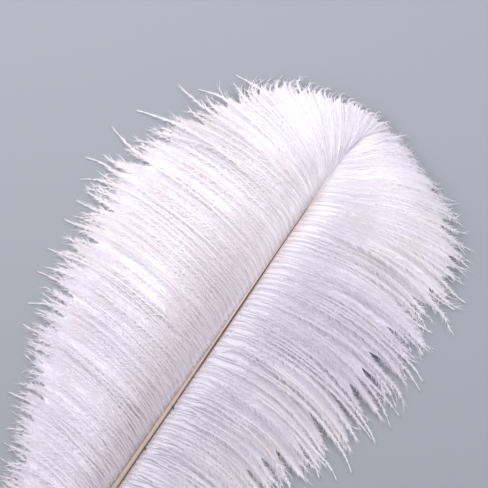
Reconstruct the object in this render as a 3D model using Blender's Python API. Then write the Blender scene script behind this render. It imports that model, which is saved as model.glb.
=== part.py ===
"""A large white ostrich plume, lying on a flat surface with its convex face up.

The shaft bows up off the surface and nods down again at the tip. The soft barbs stand in two
vanes, one on each side of it: they rise a little from the shaft, arch over, and lie flat on the
surface along their outer quarter. Each vane is a thin closed shell that reaches the barbs' tips.

Metres, +Z up, +Y from the quill to the tip, left is -X. The origin is under the middle of the
feather's box, on the surface that it lies on.
"""

import math

import bmesh
import bpy
from mathutils import Vector

# Shaft: each pair is the distance from the quill's end, and the value there.
SHAFT_LENGTH = 0.472
SHAFT_SIDES = 10
SHAFT_RINGS = 44
SHAFT_DEPTH_RATIO = 1.15
AIM_STEP = 0.002
FIRST_AIM = 0.003
SHAFT_WIDTHS = (
    (0.000, 0.0030),
    (0.010, 0.0046),
    (0.070, 0.0052),
    (0.167, 0.0043),
    (0.343, 0.0025),
    (0.440, 0.0012),
    (0.472, 0.0007),
)
SHAFT_HEIGHTS = (
    (0.000, 0.0024),
    (0.060, 0.0065),
    (0.130, 0.0135),
    (0.220, 0.0235),
    (0.310, 0.0310),
    (0.370, 0.0330),
    (0.420, 0.0300),
    (0.455, 0.0235),
    (0.480, 0.0160),
)
SHAFT_SWAY = (
    (0.000, 0.0040),
    (0.080, 0.0010),
    (0.167, -0.0005),
    (0.310, -0.0005),
    (0.480, -0.0008),
)

# Vanes: how far a barb reaches from the shaft, seen from above, for barbs along the shaft.
VANE_START = 0.058
VANE_END = 0.474
LEFT_REACHES = (
    (0.058, 0.034),
    (0.120, 0.072),
    (0.170, 0.092),
    (0.240, 0.124),
    (0.330, 0.142),
    (0.370, 0.137),
    (0.410, 0.116),
    (0.425, 0.096),
    (0.440, 0.071),
    (0.455, 0.045),
    (0.474, 0.018),
)
RIGHT_REACHES = (
    (0.058, 0.034),
    (0.120, 0.071),
    (0.170, 0.091),
    (0.240, 0.114),
    (0.300, 0.130),
    (0.360, 0.131),
    (0.410, 0.131),
    (0.425, 0.120),
    (0.440, 0.090),
    (0.455, 0.053),
    (0.474, 0.019),
)

# A barb's heading, in degrees forward of square to the shaft, on the left and on the right:
# at the shaft, just past it and at the barb's tip. Near the feather's tip the barbs fan forward,
# to the three headings that both sides share.
ROOT_LEANS = {-1: 50.0, 1: 42.0}
MIDDLE_LEANS = {-1: 17.0, 1: 14.0}
TIP_LEANS = {-1: -11.0, 1: -20.0}
ROOT_BEND_LENGTH = 0.011
FAN_START = 0.375
FAN_POWER = 3.0
FAN_ROOT_LEAN = 80.0
FAN_MIDDLE_LEAN = 80.0
FAN_TIP_LEAN = 76.0

# Vane shell: its grid, its gap to the shaft, its arch and its wall.
VANE_STATIONS = 30
VANE_COLUMNS = 10
COLUMN_POWER = 1.4
STATION_POWER = 1.25
PATH_STEPS = 120
SHAFT_GAP = 0.0005
REST_COLUMN = 8
ARCH_RISE = 0.0085
ARCH_RISE_LENGTH = 0.120
ARCH_CURVE_PEAK = 4 / 27
ROOT_DROP = 0.0004
WALL_AT_ROOT = 0.0010
WALL_AT_MIDDLE = 0.0016
WALL_AT_TIP = 0.0008
WALL_MIDDLE_SHARE = 0.3
CREASE_ANGLE = 50.0

SHAFT_COLOUR = (0.52, 0.38, 0.28, 1.0)
VANE_COLOUR = (0.86, 0.83, 0.86, 1.0)


def smooth_value(points, place):
    """Value at a place on the smooth curve through (place, value) points."""
    last = len(points) - 1
    if place <= points[0][0]:
        return points[0][1]
    if place >= points[last][0]:
        return points[last][1]
    i = max(k for k in range(last) if points[k][0] <= place)

    def slope(k):
        low, high = max(k - 1, 0), min(k + 1, last)
        return (points[high][1] - points[low][1]) / (points[high][0] - points[low][0])

    span = points[i + 1][0] - points[i][0]
    t = (place - points[i][0]) / span
    start = (2 * t**3 - 3 * t**2 + 1) * points[i][1] + (t**3 - 2 * t**2 + t) * span * slope(i)
    end = (3 * t**2 - 2 * t**3) * points[i + 1][1] + (t**3 - t**2) * span * slope(i + 1)
    return start + end


def shaft_centre(y):
    """Point on the shaft's centre line at a distance y from the quill's end."""
    return Vector((smooth_value(SHAFT_SWAY, y), y, smooth_value(SHAFT_HEIGHTS, y)))


def shaft_direction(y):
    """Unit vector along the shaft, towards the tip."""
    return (shaft_centre(y + AIM_STEP) - shaft_centre(y - AIM_STEP)).normalized()


def new_object(name, mesh_builder, material):
    """An object named name, with the finished bmesh as its mesh."""
    mesh = bpy.data.meshes.new(name)
    bmesh.ops.recalc_face_normals(mesh_builder, faces=mesh_builder.faces)
    mesh_builder.to_mesh(mesh)
    mesh_builder.free()
    mesh.materials.append(material)
    mesh.shade_smooth()
    mesh.set_sharp_from_angle(angle=math.radians(CREASE_ANGLE))
    obj = bpy.data.objects.new(name, mesh)
    bpy.context.scene.collection.objects.link(obj)
    return obj


def plain_material(name, colour, roughness):
    """A Principled material of one colour."""
    material = bpy.data.materials.new(name)
    material.use_nodes = True
    principled = material.node_tree.nodes["Principled BSDF"]
    principled.inputs["Base Color"].default_value = colour
    principled.inputs["Roughness"].default_value = roughness
    principled.inputs["Metallic"].default_value = 0.0
    return material


def shape_ring(vertices, angle_layer, y):
    """Puts a ring of vertices square round the shaft, at a distance y from the quill's end."""
    ahead = shaft_direction(max(y, FIRST_AIM))
    right = ahead.cross(Vector((0, 0, 1))).normalized()
    up = right.cross(ahead)
    half_width = smooth_value(SHAFT_WIDTHS, y) / 2
    for vertex in vertices:
        across = right * math.cos(vertex[angle_layer]) * half_width
        over = up * math.sin(vertex[angle_layer]) * half_width * SHAFT_DEPTH_RATIO
        vertex.co = shaft_centre(y) + across + over


def make_shaft():
    """Quill and shaft as one solid, extruded ring by ring from the quill's end to the tip."""
    bm = bmesh.new()
    angle_layer = bm.verts.layers.float.new("angle")
    ring = bmesh.ops.create_circle(bm, segments=SHAFT_SIDES, radius=0.001)["verts"]
    for vertex in ring:
        vertex[angle_layer] = math.atan2(vertex.co.y, vertex.co.x)
    shape_ring(ring, angle_layer, 0.0)
    for k in range(1, SHAFT_RINGS + 1):
        edges = [e for e in bm.edges if all(v in ring for v in e.verts)]
        grown = bmesh.ops.extrude_edge_only(bm, edges=edges)["geom"]
        ring = [v for v in grown if isinstance(v, bmesh.types.BMVert)]
        shape_ring(ring, angle_layer, SHAFT_LENGTH * k / SHAFT_RINGS)
    bmesh.ops.holes_fill(bm, edges=bm.edges)
    return new_object("shaft", bm, plain_material("quill_horn", SHAFT_COLOUR, 0.45))


def fan_share(root_y):
    """0 along the feather, growing to 1 where the barbs fan forward at its tip."""
    share = (root_y - FAN_START) / (VANE_END - FAN_START)
    return min(max(share, 0.0), 1.0) ** FAN_POWER


def barb_heading(side, root_y, travelled, reach):
    """A barb's heading forward of square to the shaft, in radians, seen from above."""
    fan = fan_share(root_y)
    root = ROOT_LEANS[side] + (FAN_ROOT_LEAN - ROOT_LEANS[side]) * fan
    middle = MIDDLE_LEANS[side] + (FAN_MIDDLE_LEAN - MIDDLE_LEANS[side]) * fan
    tip = TIP_LEANS[side] + (FAN_TIP_LEAN - TIP_LEANS[side]) * fan
    along = middle + (tip - middle) * travelled / reach
    return math.radians(along + (root - along) * math.exp(-travelled / ROOT_BEND_LENGTH))


def barb_plan(side, root_y, reach, shares):
    """Points of one barb seen from above, at the given shares of its reach."""
    ahead = shaft_direction(root_y)
    turn = math.atan2(-ahead.x, ahead.y)
    start = shaft_centre(root_y)
    clear = side * (smooth_value(SHAFT_WIDTHS, root_y) / 2 + SHAFT_GAP)
    x, y = start.x + clear * math.cos(turn), start.y + clear * math.sin(turn)
    path = [(x, y)]
    for k in range(PATH_STEPS):
        travelled = reach * (k + 0.5) / PATH_STEPS
        heading = barb_heading(side, root_y, travelled, reach) + side * turn
        x += side * math.cos(heading) * reach / PATH_STEPS
        y += math.sin(heading) * reach / PATH_STEPS
        path.append((x, y))
    return [path[round(share * PATH_STEPS)] for share in shares]


def underside_height(root_height, reach, share, rest_share):
    """Height of a vane's underside: up from the shaft, over, and flat on the surface."""
    s = share / rest_share
    if s >= 1.0:
        return 0.0
    fall = (1 + math.cos(math.pi * s)) / 2
    rise = ARCH_RISE * min(1.0, reach / ARCH_RISE_LENGTH) * s * (1 - s) ** 2 / ARCH_CURVE_PEAK
    return root_height * fall + rise


def wall_height(share):
    """Thickness of the vane's wall, measured straight up."""
    if share < WALL_MIDDLE_SHARE:
        return WALL_AT_ROOT + (WALL_AT_MIDDLE - WALL_AT_ROOT) * share / WALL_MIDDLE_SHARE
    past = (share - WALL_MIDDLE_SHARE) / (1 - WALL_MIDDLE_SHARE)
    return WALL_AT_MIDDLE + (WALL_AT_TIP - WALL_AT_MIDDLE) * past


def make_vane(name, side, reaches):
    """One vane: a grid of stations along the shaft and columns along the barbs, made a shell."""
    shares = [(c / VANE_COLUMNS) ** COLUMN_POWER for c in range(VANE_COLUMNS + 1)]
    bm = bmesh.new()
    wall = bm.verts.layers.float.new("wall")
    grid = bmesh.ops.create_grid(bm, x_segments=VANE_COLUMNS, y_segments=VANE_STATIONS, size=1)
    plans = {}
    for vertex in grid["verts"]:
        column = round((vertex.co.x + 1) / 2 * VANE_COLUMNS)
        station = round((vertex.co.y + 1) / 2 * VANE_STATIONS)
        share_along = 1 - (1 - station / VANE_STATIONS) ** STATION_POWER
        root_y = VANE_START + (VANE_END - VANE_START) * share_along
        reach = smooth_value(reaches, root_y)
        if station not in plans:
            plans[station] = barb_plan(side, root_y, reach, shares)
        x, y = plans[station][column]
        root_height = shaft_centre(root_y).z - ROOT_DROP
        z = underside_height(root_height, reach, shares[column], shares[REST_COLUMN])
        vertex.co = (x, y, z)
        vertex[wall] = wall_height(shares[column])
    upper = bmesh.ops.extrude_face_region(bm, geom=list(bm.faces))["geom"]
    for vertex in (v for v in upper if isinstance(v, bmesh.types.BMVert)):
        vertex.co.z += vertex[wall]
    bm.verts.layers.float.remove(wall)
    return new_object(name, bm, plain_material(name + "_barbs", VANE_COLOUR, 0.8))


def centre_on_origin(objects):
    """Moves the parts so that the origin is under the middle of their box, at its lowest height."""
    corners = [vertex.co for obj in objects for vertex in obj.data.vertices]
    low = Vector(min(c[i] for c in corners) for i in range(3))
    high = Vector(max(c[i] for c in corners) for i in range(3))
    shift = Vector((-(low.x + high.x) / 2, -(low.y + high.y) / 2, -low.z))
    for obj in objects:
        obj.location = shift


def main():
    for old in list(bpy.data.objects):
        bpy.data.objects.remove(old, do_unlink=True)
    parts = [
        make_shaft(),
        make_vane("left_vane", -1, LEFT_REACHES),
        make_vane("right_vane", 1, RIGHT_REACHES),
    ]
    centre_on_origin(parts)


main()
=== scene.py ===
"""Looks of a large white ostrich plume, lying on a pale floor with its convex face up.

The plume is a horn shaft with a row of long soft barbs on each side. Every barb is a fine stem in
the middle of a thin web. It leaves the shaft leaning forward, bends outward, arches over and comes
down on the floor. Barbs lean together in pairs, tufts and locks, smoothly on the left and in ropes
on the right. Every third barb lies lower and joins none, and its web closes the gaps as a bed.
Loose barbules stand off both edges of each barb and make the white fluff, short down stands by the
shaft, and the barbs end in fine wisps. A few long strands stand out of the outline. The barbs at
the tip end in small hooks, and those at the lower end are loose and downy. Two barbs have broken
off to dark stubs.

The feather's own frame has x to the right of the shaft, y from the quill's end to the tip and z up
from the floor. SHIFT takes it to the world, whose origin is under the feather's middle.
"""

import math

import bmesh
import bpy
import numpy as np
from mathutils import Matrix, Vector


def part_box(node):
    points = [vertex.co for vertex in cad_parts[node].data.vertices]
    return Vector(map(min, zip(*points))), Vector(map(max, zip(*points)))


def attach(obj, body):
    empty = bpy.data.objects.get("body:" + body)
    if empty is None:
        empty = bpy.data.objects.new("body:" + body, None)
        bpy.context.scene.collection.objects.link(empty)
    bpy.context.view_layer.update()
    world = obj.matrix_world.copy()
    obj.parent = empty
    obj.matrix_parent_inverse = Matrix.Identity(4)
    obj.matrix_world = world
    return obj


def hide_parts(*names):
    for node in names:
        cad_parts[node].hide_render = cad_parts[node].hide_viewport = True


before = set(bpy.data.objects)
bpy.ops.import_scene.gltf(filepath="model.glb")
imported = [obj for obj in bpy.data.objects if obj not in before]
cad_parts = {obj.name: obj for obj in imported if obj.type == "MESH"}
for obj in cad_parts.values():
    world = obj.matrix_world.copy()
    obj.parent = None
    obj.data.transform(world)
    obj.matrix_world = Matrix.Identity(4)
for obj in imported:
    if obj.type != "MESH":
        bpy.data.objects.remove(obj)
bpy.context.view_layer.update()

# -------- sizes, in metres and degrees

# A place is a distance along the shaft from the quill's end. A share is of a barb's own length.
# Two values are the ends of a fade, or the least and the most of what is drawn at random. Those of
# PULL, RISE, TURN, JITTER, UNEVEN, DROOP, DEPTH, OVERLAP, MOST, TAPER, FUZZ and WISP_STARTS are for
# a smooth vane and for a roped one, STEM_WIDTHS are at root and tip, and a TILT is a mean and a
# spread.

# Shaft: its width, its middle's height and its sway to the right, as (place, value).
SHAFT_LENGTH = 0.472
SHAFT_WIDTHS = (
    (0.000, 0.0030), (0.010, 0.0046), (0.070, 0.0052), (0.167, 0.0043), (0.343, 0.0023),
    (0.385, 0.0015), (0.440, 0.0010), (0.472, 0.0006),
)
SHAFT_HEIGHTS = (
    (0.000, 0.0024), (0.060, 0.0065), (0.130, 0.0135), (0.220, 0.0235), (0.310, 0.0310),
    (0.370, 0.0330), (0.420, 0.0300), (0.455, 0.0235), (0.480, 0.0160),
)
SHAFT_SWAY = (
    (0.000, 0.0040), (0.080, 0.0010), (0.167, -0.0005), (0.310, -0.0005), (0.480, -0.0008),
)
SHAFT_DEPTH_RATIO = 1.15
SHAFT_SIDES = 24
SHAFT_RINGS = 150
SHAFT_SAMPLES = 400
DIRECTION_STEP = 0.002
FIRST_DIRECTION = 0.003
GROOVE_DEPTH = 0.10
GROOVE_ANGLE = 75.0
GROOVE_SPREAD = 0.22

# Stubs of two broken barbs: place, and turn from square to the shaft.
BROKEN_BARBS = ((0.2034, -25.0), (0.2397, -40.0))
STUB_LENGTH = 0.0032
STUB_WIDTH = 0.0014
STUB_TIP_WIDTH = STUB_WIDTH / 4
STUB_SIDES = 8
STUB_TILT = 78.0
STUB_OFFSET = 0.75

# Barbs: where they start and end on the shaft, and how far they reach, as (place, reach).
VANE_START = 0.058
VANE_END = 0.474
REACHES = {
    "left": (
        (0.058, 0.034), (0.120, 0.072), (0.170, 0.096), (0.200, 0.109), (0.240, 0.125),
        (0.330, 0.139), (0.350, 0.137), (0.370, 0.130), (0.395, 0.123), (0.410, 0.114),
        (0.425, 0.095), (0.440, 0.070), (0.455, 0.047), (0.474, 0.029),
    ),
    "right": (
        (0.058, 0.034), (0.120, 0.071), (0.170, 0.091), (0.240, 0.106), (0.270, 0.117),
        (0.290, 0.124), (0.320, 0.131), (0.345, 0.137), (0.357, 0.136), (0.370, 0.130),
        (0.380, 0.122), (0.390, 0.126), (0.400, 0.131), (0.410, 0.125), (0.420, 0.113),
        (0.430, 0.098), (0.440, 0.083), (0.448, 0.067), (0.456, 0.052), (0.465, 0.037),
        (0.474, 0.027),
    ),
}
REACH_JITTERS = (1.00, 1.07)
SIDE_SIGN = {"left": -1, "right": 1}

# A barb's heading in degrees forward of square to the shaft: at the shaft, past it, at its tip.
ROOT_LEAN = {"left": 50.0, "right": 42.0}
MIDDLE_LEAN = {"left": 17.0, "right": 14.0}
TIP_LEAN = {"left": -11.0, "right": -26.0}
ROOT_BEND_LENGTH = 0.011
FAN_STARTS = {"left": 0.400, "right": 0.432}
FAN_POWER = 2.0
FAN_ROOT_LEAN = {"left": 122.0, "right": 62.0}
FAN_MIDDLE_LEAN = {"left": 140.0, "right": 40.0}
FAN_TIP_LEAN = {"left": 148.0, "right": 30.0}

# Turns forward of a barb past its root, and of its last bit, as (place, turn).
SWINGS = {
    "left": ((0.058, 0.0), (0.474, 0.0)),
    "right": (
        (0.058, 0.0), (0.320, 0.0), (0.340, 5.0), (0.360, 9.0), (0.380, 11.0), (0.400, 14.0),
        (0.410, 19.0), (0.420, 26.0), (0.435, 31.0), (0.455, 35.0), (0.465, 27.0), (0.474, 0.0),
    ),
}
SWING_SHARES = (0.0, 0.35)
HOOKS = {
    "left": (
        (0.058, 0.0), (0.400, 0.0), (0.415, 30.0), (0.432, 120.0), (0.445, 190.0), (0.462, 180.0),
        (0.474, 90.0),
    ),
    "right": ((0.058, 0.0), (0.395, 0.0), (0.440, -12.0), (0.455, -45.0), (0.474, -50.0)),
}
HOOK_STARTS = {"left": 0.78, "right": 0.84}
HOOK_JITTERS = (0.7, 1.2)
HOOKED = {"left": (0.430, 0.445), "right": (0.460, 0.480)}

# How single barbs differ: in their turn, in a wave, in crinkles by the shaft and at their tip.
ROOT_LEAN_JITTER = 2.0
BARB_TURN = {"left": 1.6, "right": 2.4}
WAVE_TURN = 3.0
WAVE_RADIANS = 9
WAVE_PHASES = (0, 6.3)
CRINKLE = 10.0
CRINKLE_LESS = 0.6
CRINKLE_FADES = (0.26, 0.37)
CRINKLE_ENDS = (0.012, 0.045)
TIP_SCATTER = 22.0
SCATTER_SHARES = (0.84, 1.0)

# Where the barbs gather in ropes, as (place, rope): 0 is a smooth vane and 1 a roped one.
ROPED = {
    "left": ((0.058, 0.0), (0.474, 0.0)),
    "right": ((0.058, 1.0), (0.360, 1.0), (0.398, 0.0), (0.474, 0.0)),
}

# How barbs gather: their spacing on the shaft, and the width there of their pairs, tufts and locks.
BARB_SPACING = 0.0015
ROOT_SAMPLES = 1000
ROOT_PLACES = (0.3, 0.7)
PAIR_WIDTHS = (0.0023, 0.0032)
PAIR_PULL = (0.15, 0.40)
PAIR_PULL_BY_SHAFT = 0.85
PAIR_FORMS = (0.0, 0.005)
PAIR_LOOSENS = (0.020, 0.060)
TUFT_WIDTHS = {"left": (0.0030, 0.0110), "right": (0.0050, 0.0085)}
TUFT_PULL = (0.20, 0.80)
TUFT_FORMS = {"left": (0.86, 1.0), "right": (0.18, 0.95)}
TUFT_RISE = (0.0001, 0.0003)
TUFT_TURN = (0.3, 1.6)
LOCK_WIDTHS = {"left": (0.016, 0.030), "right": (0.012, 0.022)}
LOCK_PULL = (0.05, 0.14)
LOCK_STARTS = {"left": 0.60, "right": 0.40}
LOCK_RISE = (0.0003, 0.0007)
LOCK_JITTER = (0.0001, 0.0001)
BARB_JITTER = 0.00008
LOCK_UNEVEN = (0.013, 0.040)
TUFT_UNEVEN = (0.024, 0.065)
TUFT_ROUNDING = 0.04
LOCK_TURN = (0.5, 0.6)
LOCK_DROOP = (1.0, 1.9)

# By the tip the roots crowd, the barbs gather less, and their outline is calmer.
CROWDED = (0.405, 0.435)
CROWDED_JOINS_LESS = 0.85
CROWDED_PAIRS_LESS = 0.45
CROWDED_FRINGE_LESS = 0.45
CALMS = (0.40, 0.46)
CALM_AT_TIP = 0.8

# Barbs that lie below the rest and join no tuft, how full fringes are, and barbs that stray.
UNDER_EVERY = 3
UNDER_REACH = 0.95
UNDER_TURN = 0.5
UNDER_DEPTH = (-0.00010, 0.00010)
UNDER_DEPTH_BY_SHAFT = 0.00048
UNDER_FRINGE = 1.5
TOP_FRINGE = 0.64
LOW_FRINGE = 0.75
LOW_FRINGE_ENDS = (0.10, 0.17)
STRAY_SHARE = 0.06
STRAY_REACHES = (1.02, 1.08)
STRAY_TURN = 9.0
STRAY_JOINS = 0.3

# The downy barbs at the vane's lower end: how far up they go, how loose and how soft they are.
DOWNY = (0.068, 0.105)
DOWNY_TURN = 13.0
DOWNY_RISE = 0.0016
DOWNY_SOFTNESS = 0.032
DOWNY_GAP = 0.85
DOWNY_FLUFF = 0.7

# Long sleek strands that stand out of the outline, as (place, how much longer, their end's turn).
LONG_STRANDS = {
    "left": (
        (0.136, 0.09, -10.0), (0.169, 0.11, -8.0), (0.209, 0.11, 8.0), (0.236, 0.08, -24.0),
        (0.248, 0.09, 4.0), (0.270, 0.10, -10.0), (0.294, 0.09, -12.0), (0.309, 0.07, -8.0),
        (0.330, 0.13, -10.0), (0.336, 0.13, 10.0), (0.355, 0.14, 20.0), (0.391, 0.18, -7.0),
        (0.408, 0.16, 20.0), (0.417, 0.15, -12.0), (0.426, 0.15, -12.0), (0.447, 0.12, 200.0),
        (0.456, 0.16, 200.0), (0.464, 0.18, 190.0),
    ),
    "right": (
        (0.254, 0.08, 4.0), (0.267, 0.10, -8.0), (0.269, 0.17, 6.0), (0.285, 0.18, -6.0),
        (0.305, 0.09, 8.0), (0.310, 0.14, -4.0), (0.326, 0.12, -8.0), (0.328, 0.11, 6.0),
        (0.347, 0.10, -6.0), (0.350, 0.07, 6.0), (0.366, 0.05, -10.0), (0.372, 0.03, 10.0),
        (0.392, 0.06, 6.0), (0.402, 0.07, -14.0), (0.418, 0.06, -6.0),
    ),
}
STRAND_BARBS = 3
STRAND_SPACING = 0.0007
STRAND_REACHES = (0.98, 1.02)
STRAND_CURL_START = 0.60
STRAND_PULL = 0.9
STRAND_FORMS = (0.3, 0.9)
STRAND_RISE = 0.0006
STRAND_RISES = (0.45, 0.80)
STRAND_DROP = 0.8
STRAND_WEB = 0.0003
STRAND_WEB_TAPER = 0.7
STRAND_FRINGE = 0.35
STRAND_FUZZ = 0.0035
STRAND_WISPY = 0.5
STRAND_WISP = 0.4

# A barb: a stem in the middle of a thin web, which meets its neighbours' webs. The EDGE, TOP and
# BELOW of a stem are in its half widths. Its material takes distances in BARB_UNITs.
BARB_STEPS = 22
STEPS_TO_ENDS = 0.07
STEM_WIDTHS = (0.00044, 0.00010)
STEM_TAPER = 0.7
STEM_EDGE = 1.2
STEM_TOP = 1.3
STEM_BELOW = 0.9
BARB_UNIT = 0.010
WEB_OVERLAP = (0.32, 0.36)
WEB_OVERLAP_BY_SHAFT = 0.10
WEB_MOST = (0.0009, 0.0006)
BED_OVERLAP = 0.62
END_OF_BED = 0.08
ROWS_AROUND = 3
LEAST_SPACING = 0.0005
WEB_DROOP = 0.20
WEB_RAGGED = (0.92, 1.08)
WEB_TAPER_STARTS = (0.84, 0.70)
WEB_TAPER_ENDS = (0.96, 0.92)
HOOK_TAPER = 0.08
TIP_WEB = 0.00036
TIP_WEB_POWER = 6
HOOK_WEB_LESS = 0.3
WEB_EDGE_ANGLE = 90.0

# The barbules that fringe it, the down by the shaft, and the wisps at its end. All are flat spikes.
BARBULES_A_METRE = 3300.0
BARBULE_START = 0.012
BARBULE_SPAN = 0.918
BARBULE_POWER = 0.85
TOP_FUZZ = (0.0070, 0.0055)
UNDER_FUZZ = (0.0070, 0.0080)
BARBULE_LENGTHS = (0.55, 1.1)
BARBULE_LEAST = 0.10
BARBULE_GROWS = (0.006, 0.038)
BARBULE_TIP_LESS = 0.55
BARBULE_TIPS = (0.80, 1.0)
SLEEK_LESS = 0.70
SLEEK_SHARES = (0.55, 0.80)
BARBULE_WIDTH = 0.00038
BARBULE_WIDTHS = (0.75, 1.2)
BARBULE_ANGLES = (18, 50)
BARBULE_TILT = (9, 10)
DOWN_A_BARB = 14
DOWN_FADES = (0.27, 0.37)
DOWN_PLACES = (0.0004, 0.0070)
DOWN_LENGTHS = (0.0012, 0.0030)
DOWN_WIDTH = 0.00036
DOWN_ANGLES = (15, 100)
DOWN_TILT = (32, 15)
DOWN_PALENESS = 0.4
WISPS_A_BARB = 18
WISP_ENDS = {"left": (0.415, 0.432), "right": (0.438, 0.448)}
WISP_STARTS = (0.78, 0.66)
WISP_LAST_START = 0.985
WISPS_MORE_BETWEEN_ROPES = 1.3
WISPS_LONGER_ON_ROPES = 0.1
WISP_LENGTHS = (0.003, 0.009)
WISP_WIDTH = 0.00034
WISP_SPREAD = 15.0
WISP_TILT = (8, 12)
FINE_WIDTHS = (0.7, 1.2)
SPIKE_DEPTH = 0.12
SPIKE_LIFT = 0.0006

# Painted shade, as (place, shade): it greys the lower left vane, a stretch of the right one and the
# tip. A rope's under barbs and their barbules add painted shade in the gaps between the ropes.
PAINTED_SHADES = {
    "left": (
        (0.058, 0.4), (0.200, 0.4), (0.270, 0.2), (0.320, 0.0), (0.430, 0.1), (0.450, 0.25),
        (0.474, 0.25),
    ),
    "right": (
        (0.058, 0.0), (0.290, 0.0), (0.320, 0.4), (0.352, 0.4), (0.375, 0.0), (0.430, 0.0),
        (0.450, 0.2), (0.474, 0.2),
    ),
}
BED_WEB_SHADE = 0.55
FUZZ_SHADE = 0.45

# How a barb lies: down on the floor past this share of its reach, further out by the tip. Its path
# and the six corners of its section keep a little above FLOOR_CLEARANCE or below it.
REST_SHARE = {"left": 0.80, "right": 0.94}
REST_SHARE_AT_TIP = 0.98
REST_MOVES = (0.34, 0.43)
BLUFF_POWER = 4.5
BLUFF_FORMS = (0.38, 0.44)
ARCH_RISE = 0.0085
ARCH_RISE_LENGTH = 0.120
ARCH_CURVE_PEAK = 4 / 27
FLUFF_HEIGHT = 0.0030
FLUFF_GROWS = (0.003, 0.030)
SWELL_LESS = 0.7
SWELL_ENDS = (0.7, 1.0)
TIP_DROP = 0.0025
TIP_DROPS = (0.8, 1.0)
FLOOR_CLEARANCE = 0.0006
PATH_CLEARANCE = 0.0008
SECTION_LIFTS = (0.0, 0.0002, 0.0004, 0.0002, 0.0, -0.0002)

# At the very tip the barbs start over the shaft and hide it, and the vane is flatter. An offset is
# in the shaft's half widths, and a lift in its widths.
OVER_SHAFT = (0.425, 0.462)
ROOT_OFFSET = 0.7
ROOT_OFFSET_LESS = 2.2
LIFT_OVER_SHAFT = 0.7
ARCH_LESS_AT_TIP = 0.7
FLUFF_LESS_AT_TIP = 0.85

SEEDS = {"left": 11, "right": 12}


# -------- small tools


def smooth_values(points, places):
    """Values at an array of places on the smooth curve through (place, value) points."""
    at = np.array([p[0] for p in points])
    value = np.array([p[1] for p in points])
    last = len(points) - 1
    low = np.maximum(np.arange(last + 1) - 1, 0)
    high = np.minimum(np.arange(last + 1) + 1, last)
    slope = (value[high] - value[low]) / (at[high] - at[low])
    places = np.clip(places, at[0], at[last])
    i = np.clip(np.searchsorted(at, places, side="right") - 1, 0, last - 1)
    span = at[i + 1] - at[i]
    t = (places - at[i]) / span
    start = (2 * t**3 - 3 * t**2 + 1) * value[i] + (t**3 - 2 * t**2 + t) * span * slope[i]
    end = (3 * t**2 - 2 * t**3) * value[i + 1] + (t**3 - t**2) * span * slope[i + 1]
    return start + end


def ease(value, low, high):
    """0 below low, 1 above high, and a smooth step between."""
    t = np.clip((value - low) / (high - low), 0.0, 1.0)
    return t * t * (3 - 2 * t)


def between(ends, share):
    """The value at a share of the way from the first end to the second."""
    return ends[0] + (ends[1] - ends[0]) * share


def shaft_points(y):
    """Points on the shaft's centre line at distances y from the quill's end."""
    y = np.asarray(y, float)
    return np.stack([smooth_values(SHAFT_SWAY, y), y, smooth_values(SHAFT_HEIGHTS, y)], -1)


def unit(vectors):
    """The vectors, each made one long."""
    return vectors / np.maximum(np.linalg.norm(vectors, axis=-1, keepdims=True), 1e-12)


def shaft_directions(y):
    """Unit vectors along the shaft at distances y, towards the tip."""
    y = np.asarray(y)
    return unit(shaft_points(y + DIRECTION_STEP) - shaft_points(y - DIRECTION_STEP))


def frame_shift():
    """What takes the feather's own frame to the world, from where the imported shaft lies."""
    y = np.linspace(0.0, SHAFT_LENGTH, SHAFT_SAMPLES)
    half = smooth_values(SHAFT_WIDTHS, y) / 2
    middle = shaft_points(y)
    low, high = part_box("shaft")
    x = (low.x + high.x) / 2 - ((middle[:, 0] - half).min() + (middle[:, 0] + half).max()) / 2
    top = (middle[:, 2] + half * SHAFT_DEPTH_RATIO).max()
    return np.array([x, high.y - SHAFT_LENGTH, high.z - top])


SHIFT = frame_shift()
EVEN_SHARES = np.linspace(0, 1, BARB_STEPS + 1)
SHARES = EVEN_SHARES - STEPS_TO_ENDS * np.sin(2 * np.pi * EVEN_SHARES)
UPRIGHT = np.array((0.0, 0.0, 1.0))


def add_piece(name, mesh, material, slot, *nodes):
    """Links a finished mesh as a piece of the feather that stands for CAD nodes."""
    piece = bpy.data.objects.new(name, mesh)
    bpy.context.scene.collection.objects.link(piece)
    mesh.materials.append(material)
    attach(piece, "root")
    if nodes:
        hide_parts(*nodes)
    return piece


# -------- materials


# Tones of the barbs. A pair is for the left vane and for the right one, and a bed is the under
# barbs' webs. The greyed white is painted shade, the root tones and the bed tone by the shaft are
# painted shade by the shaft, and the tones at the barbs' feet are painted contact shadow beside it.
BLACK = (0.0, 0.0, 0.0)
DULL_WHITE = (0.90, 0.88, 0.91)
BRIGHT_WHITE = (0.95, 0.945, 0.96)
WARM_WHITE = (0.92, 0.875, 0.865)
SHADED_WHITE = (0.80, 0.77, 0.83)
ROOT_SHADE_TONES = ((0.80, 0.75, 0.79), (0.785, 0.765, 0.815))
BED_ROOT_SHADE_TONES = ((0.46, 0.41, 0.45), (0.565, 0.545, 0.605))
BED_SHADE_BY_SHAFT = (0.54, 0.45, 0.44)
FOOT_SHADOW_BY_QUILL = (0.42, 0.34, 0.33)
FOOT_SHADOW_TONES = ((0.86, 0.78, 0.76), (0.64, 0.57, 0.58))

# World x and y where the barbs' painted shade changes: from side to side, and up the feather.
SIDES_MEET = (-0.001, 0.002)
ROOT_SHADE_FADES = (0.08, 0.20)
FOOT_ENDS = (0.16, 0.20)
FOOT_PALES = (-0.06, 0.10)

# Tones of the shaft and of the stubs on it.
DARK_HORN = (0.37, 0.28, 0.235)
LIGHT_HORN = (0.50, 0.395, 0.34)
CREAM_HORN = (0.80, 0.72, 0.68)
WHITE_HORN = (0.86, 0.80, 0.81)
LINE_BROWN = (0.125, 0.073, 0.058)
FINE_LINE_BROWN = (0.070, 0.042, 0.040)
STUB_BLACK = (0.02, 0.014, 0.012)
STUB_BROWN = (0.07, 0.05, 0.04)


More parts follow.
